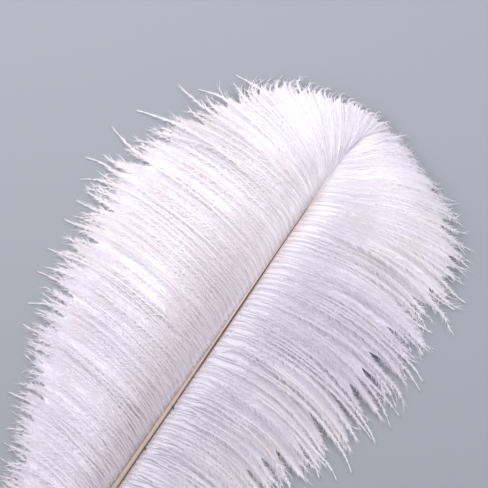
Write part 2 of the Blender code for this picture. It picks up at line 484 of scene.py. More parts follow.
class Nodes:
    """Short ways to add and link shader nodes in one tree."""

    def __init__(self, tree):
        self.tree = tree

    def add(self, kind, settings=None, **inputs):
        node = self.tree.nodes.new(kind)
        for key, value in (settings or {}).items():
            setattr(node, key, value)
        for key, value in inputs.items():
            self.put(node.inputs[key.replace("_", " ")], value)
        return node

    def put(self, socket, value):
        if isinstance(value, bpy.types.NodeSocket):
            self.tree.links.new(value, socket)
        else:
            socket.default_value = value

    def ramp(self, factor, *stops):
        """A colour by factor. A stop is a place and a colour."""
        node = self.add("ShaderNodeValToRGB", Fac=factor)
        elements = node.color_ramp.elements
        while len(elements) < len(stops):
            elements.new(0.5)
        for element, (place, colour) in zip(elements, stops):
            element.position = place
            element.color = (*colour, 1.0)
        return node.outputs["Color"]

    def mask(self, factor, *stops):
        """A strength by factor. A stop is a place and a strength."""
        return self.ramp(factor, *((place, (strength,) * 3) for place, strength in stops))

    def mix(self, factor, first, second):
        """A colour between two, which are sockets or plain tones."""
        node = self.add("ShaderNodeMix", {"data_type": "RGBA"})
        self.put(node.inputs[0], factor)
        for socket, colour in ((node.inputs[6], first), (node.inputs[7], second)):
            self.put(socket, (*colour, 1.0) if isinstance(colour, tuple) else colour)
        return node.outputs[2]

    def span(self, value, start, end, low=0.0, high=1.0):
        """The value, taken from start and end to low and high."""
        ends = {"From_Min": start, "From_Max": end, "To_Min": low, "To_Max": high}
        return self.add("ShaderNodeMapRange", Value=value, **ends).outputs[0]

    def math(self, operation, *values):
        node = self.add("ShaderNodeMath", {"operation": operation})
        for socket, value in zip(node.inputs, values):
            self.put(socket, value)
        return node.outputs[0]

    def parts(self, vector):
        """The x and y of a vector."""
        outputs = self.add("ShaderNodeSeparateXYZ", Vector=vector).outputs
        return outputs["X"], outputs["Y"]

    def uv(self, name):
        return self.add("ShaderNodeUVMap", {"uv_map": name}).outputs["UV"]

    def place(self):
        return self.add("ShaderNodeTexCoord").outputs["Object"]

    def streaks(self, vector, repeats, detail):
        inputs = {"Vector": vector, "Repeats": repeats, "Detail": detail}
        return self.add("ShaderNodeGroup", {"node_tree": STREAKS}, **inputs).outputs["Strength"]


def streak_group():
    """A node group of noise, finer the more often it repeats along each axis of its vector."""
    group = bpy.data.node_groups.new("streaks", "ShaderNodeTree")
    for name, kind in (("Vector", "Vector"), ("Repeats", "Vector"), ("Detail", "Float")):
        group.interface.new_socket(name, in_out="INPUT", socket_type=f"NodeSocket{kind}")
    group.interface.new_socket("Strength", in_out="OUTPUT", socket_type="NodeSocketFloat")
    n = Nodes(group)
    given = n.add("NodeGroupInput").outputs
    drawn = n.add("ShaderNodeMapping", Vector=given["Vector"], Scale=given["Repeats"]).outputs[0]
    noise = n.add("ShaderNodeTexNoise", Vector=drawn, Scale=1.0, Detail=given["Detail"])
    n.add("NodeGroupOutput", Strength=noise.outputs["Fac"])
    return group


STREAKS = streak_group()


def new_material(name, **constants):
    """A material and its node helper, with its Principled shader, which has these constants."""
    material = bpy.data.materials.new(name)
    material.use_nodes = True
    nodes = Nodes(material.node_tree)
    shader = material.node_tree.nodes["Principled BSDF"]
    for key, value in constants.items():
        nodes.put(shader.inputs[key.replace("_", " ")], value)
    return material, nodes, shader


def barb_material():
    """White keratin barbs: faint warm streaks, a tint of their own each, painted shade and painted
    contact shadow by the shaft, and painted shade that greys parts of the vanes.
    """
    material, n, shader = new_material(
        "white_barb_keratin", Roughness=0.55, Specular_IOR_Level=0.3, Sheen_Weight=0.2
    )
    barb_uv = n.uv("OFBake")
    share, _ = n.parts(barb_uv)
    from_shaft, on_bed = n.parts(n.uv("BarbPlace"))
    painted_shade, _ = n.parts(n.uv("BarbGrey"))
    x, y = n.parts(n.place())
    right = n.span(x, *SIDES_MEET)
    near_tip = n.span(y, *ROOT_SHADE_FADES, high=0.75)
    past_foot = n.span(y, *FOOT_ENDS)

    warm = n.mask(n.streaks(barb_uv, (3.5, 16.0, 1.0), 2.0), (0.52, 0.0), (0.80, 1.0))
    fine = n.streaks(barb_uv, (3.0, 190.0, 1.0), 2.0)
    white = n.mix(warm, n.ramp(fine, (0.3, DULL_WHITE), (0.7, BRIGHT_WHITE)), WARM_WHITE)
    # Painted shade greys the barbs by their place on the shaft, and in the gaps between ropes.
    white = n.mix(painted_shade, white, SHADED_WHITE)

    # Painted shade on the inner part of each barb, by the shaft: less by the tip, and least there
    # on the left.
    shades_by_side = [n.mix(on_bed, *pair) for pair in zip(ROOT_SHADE_TONES, BED_ROOT_SHADE_TONES)]
    root_shade_mask = n.mask(share, (0.0, 0.8), (0.17, 1.0), (0.42, 0.0))
    fade = n.math("MULTIPLY", near_tip, n.span(right, 0.0, 1.0, low=1.0, high=0.55))
    root_shade_mask = n.mix(fade, root_shade_mask, BLACK)
    colour = n.mix(root_shade_mask, white, n.mix(right, *shades_by_side))

    # In the upper part, short of the tip, painted shade darkens the bed brown where it shows
    # between the barbs by the shaft.
    bed_shade_mask = n.mix(on_bed, BLACK, n.mask(from_shaft, (0.40, 1.0), (1.0, 0.0)))
    bed_shade_mask = n.mix(near_tip, BLACK, bed_shade_mask)
    bed_shade_mask = n.mix(past_foot, bed_shade_mask, BLACK)
    colour = n.mix(bed_shade_mask, colour, BED_SHADE_BY_SHAFT)

    # Painted contact shadow at the base of each barb beside the shaft, brownish, darkest towards
    # the quill and deeper on the right.
    foot_shadow_mask = n.mix(past_foot, n.mask(from_shaft, (0.14, 0.85), (0.62, 0.0)), BLACK)
    foot_shadow_tone = n.mix(n.span(y, *FOOT_PALES), FOOT_SHADOW_BY_QUILL, n.mix(right, *FOOT_SHADOW_TONES))
    colour = n.mix(foot_shadow_mask, colour, foot_shadow_tone)

    n.put(shader.inputs["Base Color"], colour)
    glow = n.add("ShaderNodeBsdfTranslucent", Color=colour)
    blend = n.add("ShaderNodeMixShader")
    n.put(blend.inputs[0], n.mask(on_bed, (0.0, 0.45), (1.0, 0.08)))
    n.put(blend.inputs[1], shader.outputs[0])
    n.put(blend.inputs[2], glow.outputs[0])
    n.put(material.node_tree.nodes["Material Output"].inputs["Surface"], blend.outputs[0])
    return material


def shaft_material():
    """Tan horn with a brown line along it, darker on its right, paling to white at the tip."""
    material, n, shader = new_material("quill_horn", Roughness=0.5, Specular_IOR_Level=0.5)
    shaft_uv = n.uv("OFBake")
    across, along = n.parts(shaft_uv)
    grain = n.streaks(shaft_uv, (26.0, 9.0, 1.0), 5.0)
    creamy = n.mask(along, (0.62, 0.0), (0.78, 1.0))
    horn = n.mix(creamy, n.ramp(grain, (0.3, DARK_HORN), (0.72, LIGHT_HORN)), CREAM_HORN)

    # The line's place across the shaft: at its right edge by the quill, mid-way further up.
    centre = n.span(along, 0.52, 0.80, low=0.96, high=0.44)
    distance = n.math("ABSOLUTE", n.math("SUBTRACT", across, centre))
    distance = n.math("MULTIPLY", distance, n.span(along, 0.50, 0.72, low=1.0, high=0.60))
    line = n.mask(distance, (0.14, 1.0), (0.24, 0.0))
    horn = n.mix(line, horn, n.mix(creamy, LINE_BROWN, FINE_LINE_BROWN))

    whitened = n.mask(along, (0.86, 0.0), (0.95, 1.0))
    n.put(shader.inputs["Base Color"], n.mix(whitened, horn, WHITE_HORN))
    bump = n.add("ShaderNodeBump", Height=grain, Strength=0.25, Distance=0.0002)
    n.put(shader.inputs["Normal"], bump.outputs[0])
    return material


def stub_material():
    """Dried dark horn, mottled along its grain."""
    material, n, shader = new_material("dark_horn", Roughness=0.6)
    mottle = n.add("ShaderNodeTexNoise", Vector=n.place(), Scale=1800.0, Detail=3.0).outputs["Fac"]
    n.put(shader.inputs["Base Color"], n.ramp(mottle, (0.3, STUB_BLACK), (0.7, STUB_BROWN)))
    return material


# -------- shaft


def make_shaft(material):
    """Quill and shaft, extruded ring by ring, with a flat-topped section and a shallow groove."""
    bm = bmesh.new()
    angle_layer = bm.verts.layers.float.new("angle")
    y_layer = bm.verts.layers.float.new("along")
    uv_layer = bm.loops.layers.uv.new("OFBake")
    ring = bmesh.ops.create_circle(bm, segments=SHAFT_SIDES, radius=0.001)["verts"]
    for vertex in ring:
        vertex[angle_layer] = math.atan2(vertex.co.y, vertex.co.x)

    def shape(vertices, y):
        centre = Vector(shaft_points(y) + SHIFT)
        ahead = Vector(shaft_directions(max(y, FIRST_DIRECTION)))
        right = ahead.cross(Vector((0, 0, 1))).normalized()
        up = right.cross(ahead)
        half = float(smooth_values(SHAFT_WIDTHS, np.array(y))) / 2
        for vertex in vertices:
            angle = vertex[angle_layer]
            off_groove = (angle - math.radians(GROOVE_ANGLE)) / GROOVE_SPREAD
            groove = GROOVE_DEPTH * math.exp(-(off_groove**2))
            across = right * math.cos(angle) * half
            over = up * math.sin(angle) * half * SHAFT_DEPTH_RATIO * (1 - groove)
            vertex.co = centre + across + over
            vertex[y_layer] = y / SHAFT_LENGTH

    shape(ring, 0.0)
    for k in range(1, SHAFT_RINGS + 1):
        around = {e for v in ring for e in v.link_edges}
        edges = [e for e in around if all(v in ring for v in e.verts)]
        grown = bmesh.ops.extrude_edge_only(bm, edges=edges)["geom"]
        ring = [v for v in grown if isinstance(v, bmesh.types.BMVert)]
        shape(ring, SHAFT_LENGTH * k / SHAFT_RINGS)
    bmesh.ops.holes_fill(bm, edges=bm.edges)
    bmesh.ops.recalc_face_normals(bm, faces=bm.faces)
    for face in bm.faces:
        for loop in face.loops:
            angle = loop.vert[angle_layer]
            loop[uv_layer].uv = (0.5 + 0.5 * math.cos(angle), loop.vert[y_layer])
    mesh = bpy.data.meshes.new("shaft_horn")
    bm.to_mesh(mesh)
    bm.free()
    mesh.shade_smooth()
    return add_piece("shaft_horn", mesh, material, "quill_horn", "shaft")


def make_broken_barbs(material):
    """Two dark stubs of barbs that broke off at the shaft's right side."""
    bm = bmesh.new()
    for y, turn in BROKEN_BARBS:
        stub = bmesh.ops.create_cone(
            bm, cap_ends=True, segments=STUB_SIDES, depth=STUB_LENGTH,
            radius1=STUB_WIDTH / 2, radius2=STUB_TIP_WIDTH / 2,
        )["verts"]
        offset = float(smooth_values(SHAFT_WIDTHS, np.array(y))) / 2 * STUB_OFFSET
        place = shaft_points(y) + SHIFT + np.array((offset, 0.0, offset))
        tilt = Matrix.Rotation(math.radians(STUB_TILT), 3, "Y")
        lean = Matrix.Rotation(math.radians(turn), 3, "Z") @ tilt
        bmesh.ops.translate(bm, verts=stub, vec=(0, 0, STUB_LENGTH / 2 - STUB_WIDTH / 2))
        bmesh.ops.rotate(bm, verts=stub, cent=(0, 0, 0), matrix=lean)
        bmesh.ops.translate(bm, verts=stub, vec=place)
    mesh = bpy.data.meshes.new("broken_barbs")
    bm.to_mesh(mesh)
    bm.free()
    return add_piece("broken_barbs", mesh, material, "quill_horn")


# -------- barbs


def barb_roots(rng):
    """Distances from the quill's end of the barbs' roots, on one side."""
    y = np.linspace(VANE_START, VANE_END, ROOT_SAMPLES)
    crowd = np.cumsum(1 + ease(y, *CROWDED)) / len(y)
    count = int(crowd[-1] * (VANE_END - VANE_START) / BARB_SPACING)
    places = np.arange(count) + rng.uniform(*ROOT_PLACES, count)
    return np.interp(places / count * crowd[-1], crowd, y)


def group_along(rng, roots, widths):
    """Cuts the row of roots into groups of random width: each root's group and place in it."""
    edges = [VANE_START]
    while edges[-1] < VANE_END:
        edges.append(edges[-1] + rng.uniform(*widths))
    edges = np.array(edges)
    group = np.searchsorted(edges, roots, side="right") - 1
    place = (roots - edges[group]) / (edges[group + 1] - edges[group]) * 2 - 1
    return group, place


def group_mean(values, group):
    """For each barb, the mean of the values over the barbs of its group."""
    count = np.bincount(group).astype(float)
    total = np.zeros((len(count),) + values.shape[1:])
    np.add.at(total, group, values)
    shape = (-1,) + (1,) * (values.ndim - 1)
    return (total / np.maximum(count, 1).reshape(shape))[group]


def barb_plans(side, roots, reach, turns, ends, rng):
    """Barbs seen from above, (barb, place, xy), before they gather.

    turns are degrees forward by the middle and by the tip, and ends is a last bit's turn and start.
    """
    sign = SIDE_SIGN[side]
    count = (len(roots), 1)
    fan = np.clip((roots - FAN_STARTS[side]) / (VANE_END - FAN_STARTS[side]), 0, 1) ** FAN_POWER
    middle_share = (SHARES[1:] + SHARES[:-1]) / 2

    def lean(own, fanned):
        return between((own[side], fanned[side]), fan)[:, None]

    root_lean = lean(ROOT_LEAN, FAN_ROOT_LEAN) + rng.normal(0, ROOT_LEAN_JITTER, count)
    middle_lean = lean(MIDDLE_LEAN, FAN_MIDDLE_LEAN) + turns[0][:, None]
    tip_lean = lean(TIP_LEAN, FAN_TIP_LEAN) + turns[1][:, None]
    steady = between((middle_lean, tip_lean), middle_share)
    travelled = reach[:, None] * middle_share
    heading = between((steady, root_lean), np.exp(-travelled / ROOT_BEND_LENGTH))
    wave = rng.normal(0, WAVE_TURN, count) * middle_share
    phase = rng.uniform(*WAVE_PHASES, count)
    heading = heading + wave * np.sin(WAVE_RADIANS * middle_share + phase)
    swing = smooth_values(SWINGS[side], roots)[:, None]
    heading = heading + swing * ease(middle_share, *SWING_SHARES)
    scatter = rng.normal(0, TIP_SCATTER, count) * ease(middle_share, *SCATTER_SHARES)
    crinkled = (1 - CRINKLE_LESS * ease(roots, *CRINKLE_FADES))[:, None]
    crinkled = (1 - ease(travelled, *CRINKLE_ENDS)) * crinkled
    scatter = scatter + rng.normal(0, CRINKLE, travelled.shape) * crinkled
    heading = np.radians(heading + ends[0][:, None] * ease(middle_share, ends[1], 1.0) + scatter)
    ahead = shaft_directions(roots)
    heading = heading + sign * np.arctan2(-ahead[:, 0], ahead[:, 1])[:, None]
    step = reach[:, None] * np.diff(SHARES)
    start = shaft_points(roots)
    offset = ROOT_OFFSET - ROOT_OFFSET_LESS * ease(roots, *OVER_SHAFT)
    clear = sign * smooth_values(SHAFT_WIDTHS, roots) / 2 * offset
    x = np.concatenate([(start[:, 0] + clear)[:, None], sign * np.cos(heading) * step], 1)
    y = np.concatenate([start[:, 1:2], np.sin(heading) * step], 1)
    return np.cumsum(np.stack([x, y], -1), axis=1)


def gather(plan, group, pull):
    """Draws the barbs of each group together, by a share of the way at each place."""
    return plan + (group_mean(plan, group) - plan) * pull[..., None]


def arch_heights(side, roots, reach):
    """Heights along barbs: up from the shaft, over, and down to the floor."""
    rest = between((REST_SHARE[side], REST_SHARE_AT_TIP), ease(roots, *REST_MOVES))
    s = np.minimum(SHARES / rest[:, None], 1)
    bluff = ease(roots, *BLUFF_FORMS)[:, None]
    fall = (1 + np.cos(np.pi * s)) / 2 * (1 - bluff) + (1 - s**BLUFF_POWER) * bluff
    flatter = 1 - ARCH_LESS_AT_TIP * ease(roots, *OVER_SHAFT)
    rise = ARCH_RISE * (np.minimum(1, reach / ARCH_RISE_LENGTH) * flatter)[:, None]
    rise = rise * s * (1 - s) ** 2 / ARCH_CURVE_PEAK
    return shaft_points(roots)[:, 2:3] * fall + rise


def fluff_heights(roots):
    """How far the barbs stand above the vane's own arch, away from the shaft."""
    return FLUFF_HEIGHT * (1 - FLUFF_LESS_AT_TIP * ease(roots, *OVER_SHAFT))[:, None]


def along_paths(plan, height):
    """Paths in space, from where they run seen from above and their heights, clear of the floor."""
    height = np.maximum(height, FLOOR_CLEARANCE + PATH_CLEARANCE)
    return np.concatenate([plan, height[..., None]], -1)


def lay_barbs(side, rng):
    """One side's barbs, as arrays by name with a row for each barb."""
    roots = barb_roots(rng)
    count = len(roots)
    rope = smooth_values(ROPED[side], roots)
    lock, in_lock = group_along(rng, roots, LOCK_WIDTHS[side])
    pair, _ = group_along(rng, roots, PAIR_WIDTHS)
    tuft, in_tuft = group_along(rng, roots, TUFT_WIDTHS[side])
    locks, tufts = lock.max() + 1, tuft.max() + 1
    under = np.arange(count) % UNDER_EVERY == 0
    stray = (rng.random(count) < STRAY_SHARE) & ~under
    calm = 1 - CALM_AT_TIP * ease(roots, *CALMS)
    downy = 1 - ease(roots, *DOWNY)

    def uneven(groups, group, amount):
        return 1 + rng.uniform(-1, 1, groups)[group] * between(amount, rope) * calm

    def turned(groups, group, amount):
        return rng.normal(0, 1, groups)[group] * between(amount, rope) * calm

    reach = smooth_values(REACHES[side], roots) * rng.uniform(*REACH_JITTERS, count)
    reach *= uneven(locks, lock, LOCK_UNEVEN)
    reach *= uneven(tufts, tuft, TUFT_UNEVEN)
    reach *= 1 - TUFT_ROUNDING * in_tuft**2 * calm
    longer = np.where(stray, rng.uniform(*STRAY_REACHES, count), 1.0)
    reach *= np.where(under, UNDER_REACH, 1.0) * longer

    calm = calm * ~under
    middle_turn = turned(locks, lock, LOCK_TURN)
    tip_turn = middle_turn + turned(locks, lock, LOCK_DROOP)
    tip_turn += turned(tufts, tuft, TUFT_TURN)
    own = np.where(under, UNDER_TURN, np.where(stray, STRAY_TURN, BARB_TURN[side]))
    tip_turn += rng.normal(0, 1, count) * own
    middle_turn += rng.normal(0, DOWNY_TURN, count) * downy
    hook = smooth_values(HOOKS[side], roots) * rng.uniform(*HOOK_JITTERS, count)
    plan = barb_plans(side, roots, reach, (middle_turn, tip_turn), (hook, HOOK_STARTS[side]), rng)

    far = reach[:, None] * SHARES
    height = arch_heights(side, roots, reach)
    soft = ease(far, *FLUFF_GROWS)
    swell = between(TUFT_RISE, rope) * (1 - in_tuft**2)
    swell += between(LOCK_RISE, rope) * (1 - in_lock**2)
    swell += rng.normal(0, 1, locks)[lock] * between(LOCK_JITTER, rope)
    swell = swell[:, None] * (1 - SWELL_LESS * ease(SHARES, *SWELL_ENDS))
    height += soft * (fluff_heights(roots) + swell)
    lift = smooth_values(SHAFT_WIDTHS, roots) * LIFT_OVER_SHAFT * ease(roots, *OVER_SHAFT)
    height += lift[:, None] * (1 - SHARES)
    sideways, spacing = across_vane(np.concatenate([plan, height[..., None]], -1), side)

    tip = ease(roots, *CROWDED)[:, None]
    joins = np.where(under, 0.0, np.where(stray, STRAY_JOINS, 1.0))[:, None]
    joins = joins * (1 - CROWDED_JOINS_LESS * tip)
    loose = ease(far, *PAIR_LOOSENS)
    roped = rope[:, None]
    pull = between((PAIR_PULL_BY_SHAFT, between(PAIR_PULL, roped)), loose)
    pull = pull * ease(far, *PAIR_FORMS) * joins / (1 - CROWDED_PAIRS_LESS * tip)
    plan = gather(plan, pair, pull)
    pull = between(TUFT_PULL, roped) * ease(SHARES, *TUFT_FORMS[side]) * joins
    plan = gather(plan, tuft, pull)
    pull = between(LOCK_PULL, roped) * ease(SHARES, LOCK_STARTS[side], 1.0) * joins
    plan = gather(plan, lock, pull)

    height += soft * rng.normal(0, 1, (count, 1)) * (BARB_JITTER + DOWNY_RISE * downy[:, None])
    depth = between((UNDER_DEPTH_BY_SHAFT, between(UNDER_DEPTH, roped)), loose)
    height -= soft * depth * under[:, None]
    height -= TIP_DROP * ease(SHARES, *TIP_DROPS) * rng.uniform(0, 1, (count, 1))
    paths = along_paths(plan, height)
    sideways = square_to(sideways, path_tangents(paths))

    hooked = ease(roots, *HOOKED[side])[:, None]
    taper_ends = between(WEB_TAPER_STARTS, roped), between(WEB_TAPER_ENDS, roped)
    taper = 1 - ease(SHARES + HOOK_TAPER * hooked, *taper_ends)
    taper = taper * (1 - DOWNY_GAP * downy[:, None])
    overlap = between((WEB_OVERLAP_BY_SHAFT, between(WEB_OVERLAP, roped)), loose)
    web = np.minimum(overlap * spacing, between(WEB_MOST, roped)) * taper
    web = np.maximum(web, TIP_WEB * (1 - HOOK_WEB_LESS * hooked) * (1 - SHARES**TIP_WEB_POWER))
    ahead, behind = bed_webs(paths, under, web[..., None] * sideways, taper, side)
    fringe = np.where(under, UNDER_FRINGE, TOP_FRINGE) * (1 - CROWDED_FRINGE_LESS * tip[:, 0])
    return dict(
        roots=roots, reach=reach, under=under, rope=rope, downy=downy, sleek=hooked[:, 0],
        paths=paths, sideways=sideways, ahead=ahead, behind=behind,
        fringe=fringe * between((LOW_FRINGE, 1.0), ease(roots, *LOW_FRINGE_ENDS)),
        fuzz=np.where(under, between(UNDER_FUZZ, rope), between(TOP_FUZZ, rope)),
        wispy=1 - ease(roots, *WISP_ENDS[side]),
        wisp_size=np.ones(count),
        # Painted shade, by place, and on a rope's under barbs in the gaps between ropes.
        painted_shade=smooth_values(PAINTED_SHADES[side], roots),
        rope_gap_shade=rope * under,
    )


def lay_strands(side, rng):
    """One side's long strands, a few barbs each, in arrays as lay_barbs gives."""
    roots, longer, curl = np.repeat(np.array(LONG_STRANDS[side]).T, STRAND_BARBS, axis=1)
    count = len(roots)
    strand, place = np.divmod(np.arange(count), STRAND_BARBS)
    roots = roots + STRAND_SPACING * (place - (STRAND_BARBS - 1) / 2)
    reach = smooth_values(REACHES[side], roots) * (1 + longer)
    reach = reach * rng.uniform(*STRAND_REACHES, count)
    plan = barb_plans(side, roots, reach, np.zeros((2, count)), (curl, STRAND_CURL_START), rng)
    plan = gather(plan, strand, STRAND_PULL * ease(SHARES, *STRAND_FORMS) * np.ones((count, 1)))
    soft = ease(reach[:, None] * SHARES, *FLUFF_GROWS)
    soft = soft * (1 - STRAND_DROP * ease(SHARES, *TIP_DROPS))
    rise = STRAND_RISE * (2 * ease(SHARES, *STRAND_RISES) - 1)
    height = arch_heights(side, roots, reach) + (fluff_heights(roots) + rise) * soft
    paths = along_paths(plan, height)
    sideways = unit(np.cross(path_tangents(paths), UPRIGHT))
    web = STRAND_WEB * (1 - STRAND_WEB_TAPER * SHARES)[:, None] * sideways
    none = np.zeros(count)
    return dict(
        roots=roots, reach=reach, under=none > 0, rope=none, downy=none,
        sleek=ease(roots, *HOOKED[side]),
        paths=paths, sideways=sideways, ahead=web, behind=-web,
        fringe=np.full(count, STRAND_FRINGE),
        fuzz=np.full(count, STRAND_FUZZ),
        wispy=STRAND_WISPY * (1 - ease(roots, *WISP_ENDS[side])),
        wisp_size=np.full(count, STRAND_WISP),
        # Painted shade by place; strands lie in no rope's gaps.
        painted_shade=smooth_values(PAINTED_SHADES[side], roots),
        rope_gap_shade=none,
    )


def in_one_row(first, second):
    """Two sets of barbs put in one, in the order of their roots."""
    order = np.argsort(np.concatenate([first["roots"], second["roots"]]), kind="stable")
    return {key: np.concatenate([first[key], second[key]])[order] for key in first}


def bed_webs(paths, under, webs, taper, side):
    """Vectors to both web edges of each barb. Those of the under barbs meet their neighbours."""
    ahead, behind = webs.copy(), -webs
    bed = np.flatnonzero(under)
    steps = np.diff(paths[bed], axis=0) * BED_OVERLAP * taper[bed[:-1], :, None]
    onward = np.concatenate([steps, steps[-1:] * END_OF_BED])
    backward = -np.concatenate([steps[:1] * END_OF_BED, steps])
    ahead[bed], behind[bed] = (onward, backward) if side == "left" else (backward, onward)
    return ahead, behind


def path_tangents(paths):
    """Unit vectors along the paths, towards their tips."""
    return unit(np.gradient(paths, axis=1))


def square_to(vectors, tangents):
    """The vectors turned square to the tangents."""
    return unit(vectors - tangents * (vectors * tangents).sum(-1, keepdims=True))


def across_vane(paths, side):
    """At each place on the paths, a unit vector over to the next paths, and how far those are."""
    sign = SIDE_SIGN[side]
    level = unit(np.cross(path_tangents(paths), UPRIGHT))
    row = np.arange(len(paths))
    near = np.clip(row[:, None] + np.arange(-ROWS_AROUND, ROWS_AROUND + 1), 0, row[-1])
    over = np.gradient(paths, axis=0)[near].mean(1)
    apart = np.maximum(-sign * (over * level).sum(-1), LEAST_SPACING)
    slope = np.clip(-sign * over[..., 2] / apart, -1.0, 1.0)
    return level + slope[..., None] * UPRIGHT, apart


def barb_webs(barbs, rng):
    """Barbs as slender closed forms, a stem in the middle of a thin web, in six-sided sections.

    Gives vertices, quads, end caps, and each vertex's place as (share, barb number).
    """
    paths, sideways, webs = barbs["paths"], barbs["sideways"], (barbs["ahead"], barbs["behind"])
    number, rings = paths.shape[:2]
    upward = np.cross(sideways, path_tangents(paths))
    stem = between(STEM_WIDTHS, SHARES**STEM_TAPER) / 2
    stem = np.broadcast_to(stem, (number, rings))[..., None]
    ragged = rng.uniform(*WEB_RAGGED, (2, number, rings, 1))
    droop = upward * np.linalg.norm(webs[0], axis=-1, keepdims=True) * WEB_DROOP
    droop = droop * ~barbs["under"][:, None, None]
    edge = sideways * stem * STEM_EDGE
    rows = (
        edge + webs[0] * ragged[0] - droop,
        sideways * stem,
        upward * stem * STEM_TOP,
        -sideways * stem,
        webs[1] * ragged[1] - edge - droop,
        -upward * stem * STEM_BELOW,
    )
    vertices = paths[:, :, None] + np.stack(rows, 2)
    vertices[..., 2] = np.maximum(vertices[..., 2], FLOOR_CLEARANCE + np.array(SECTION_LIFTS))
    count = len(rows)
    index = np.arange(number * rings * count).reshape(number, rings, count)
    here, ahead = index[:, :-1], index[:, 1:]
    quads = np.stack([here, ahead, np.roll(ahead, -1, 2), np.roll(here, -1, 2)], -1)
    place = np.zeros((number, rings, count, 2))
    place[..., 0] = SHARES[:, None]
    place[..., 1] = np.arange(number)[:, None, None]
    caps = np.concatenate([index[:, 0, :], index[:, -1, ::-1]])
    return vertices.reshape(-1, 3), quads.reshape(-1, 4), caps, place.reshape(-1, 2)


def hairs(counts):
    """The barb that each hair stands on, for so many hairs a barb, and how many there are."""
    barb = np.repeat(np.arange(len(counts)), counts.astype(int))
    return barb, len(barb)


def barbules(barbs, rng):
    """Barbules all along the barbs, ever shorter towards their tips."""
    reach = barbs["reach"]
    barb, total = hairs(reach * barbs["fringe"] * BARBULES_A_METRE)
    share = BARBULE_START + BARBULE_SPAN * rng.random(total) ** BARBULE_POWER
    downy = barbs["downy"][barb]
    fluff = 1 + DOWNY_FLUFF * downy
    length = barbs["fuzz"][barb] * rng.uniform(*BARBULE_LENGTHS, total) * fluff
    far = reach[barb] * share + DOWNY_SOFTNESS * downy
    length *= between((BARBULE_LEAST, 1.0), ease(far, *BARBULE_GROWS))
    length *= 1 - BARBULE_TIP_LESS * ease(share, *BARBULE_TIPS)
    length *= 1 - SLEEK_LESS * ease(share, *SLEEK_SHARES) * barbs["sleek"][barb]
    width = BARBULE_WIDTH * rng.uniform(*BARBULE_WIDTHS, total)
    angle = rng.uniform(*BARBULE_ANGLES, total) * rng.choice((-1.0, 1.0), total) * fluff
    tilt = rng.normal(*BARBULE_TILT, total) * fluff
    return spikes(barbs, barb, share, length, width, angle, tilt, rng)


def down_hairs(barbs, rng):
    """Short crinkled hairs that stand up along the shaft."""
    sparse = 1 - ease(barbs["roots"], *DOWN_FADES)
    barb, total = hairs(sparse * DOWN_A_BARB)
    share = rng.uniform(*DOWN_PLACES, total) / barbs["reach"][barb]
    length = rng.uniform(*DOWN_LENGTHS, total)
    width = DOWN_WIDTH * rng.uniform(*FINE_WIDTHS, total)
    angle = rng.uniform(*DOWN_ANGLES, total) * rng.choice((-1.0, 1.0), total)
    tilt = rng.normal(*DOWN_TILT, total)
    points, triangles, place = spikes(barbs, barb, share, length, width, angle, tilt, rng)
    # The down is moved along its barb's map, out of the painted shade and shadow by the shaft.
    place[:, 0] += DOWN_PALENESS
    return points, triangles, place


def wisps(barbs, rng):
    """Loose fine strands that the barbs end in, spread about their headings."""
    rope = barbs["rope"]
    more = 1 + WISPS_MORE_BETWEEN_ROPES * rope * barbs["under"]
    barb, total = hairs(barbs["wispy"] * WISPS_A_BARB * more)
    first = between(WISP_STARTS, rope[barb])
    share = between((first, WISP_LAST_START), rng.random(total))
    length = rng.uniform(*WISP_LENGTHS, total) * barbs["wisp_size"][barb]
    length *= 1 + WISPS_LONGER_ON_ROPES * rope[barb]
    width = WISP_WIDTH * rng.uniform(*FINE_WIDTHS, total)
    angle = rng.normal(0, WISP_SPREAD, total)
    tilt = rng.normal(*WISP_TILT, total)
    return spikes(barbs, barb, share, length, width, angle, tilt, rng)


def spikes(barbs, barb, share, length, width, angle, tilt, rng):
    """Flat closed spikes that stand on the barbs at shares of their length.

    angle is off the barb's heading to a side, and tilt is up from there. Gives vertices, triangles,
    and each vertex's place as (share, barb number).
    """
    paths, sideways = barbs["paths"], barbs["sideways"]
    rings = paths.shape[1]
    total = len(barb)
    low = np.clip(np.searchsorted(SHARES, share, side="right") - 1, 0, rings - 2)
    part = ((share - SHARES[low]) / (SHARES[low + 1] - SHARES[low]))[:, None]
    tangent = path_tangents(paths)
    upward = np.cross(sideways, tangent)

    def read(field):
        return field[barb, low] * (1 - part) + field[barb, low + 1] * part

    base = read(paths)
    ahead, across, over = (unit(read(field)) for field in (tangent, sideways, upward))
    angle, tilt = np.radians(angle)[:, None], np.radians(tilt)[:, None]
    outward = across * np.sign(angle) * np.cos(tilt) + over * np.sin(tilt)
    heading = unit(ahead * np.cos(angle) + outward * np.abs(np.sin(angle)))
    flat = unit(np.cross(heading, over))
    thick = np.cross(flat, heading)
    width = width[:, None]
    tip = base + heading * length[:, None]
    first = base + flat * width / 2
    second = base - flat * width / 2
    third = base + thick * width * SPIKE_DEPTH
    corners = np.stack([first, second, third, tip], 1)
    lowest = FLOOR_CLEARANCE + rng.uniform(0, SPIKE_LIFT, (total, 1))
    corners[..., 2] = np.maximum(corners[..., 2], lowest)
    index = (np.arange(total) * 4)[:, None]
    pattern = np.array([[0, 1, 2], [0, 3, 1], [1, 3, 2], [2, 3, 0]])
    triangles = (index[:, :, None] + pattern[None]).reshape(-1, 3)
    place = np.stack([share, barb], -1)
    return corners.reshape(-1, 3), triangles, np.repeat(place, 4, axis=0)


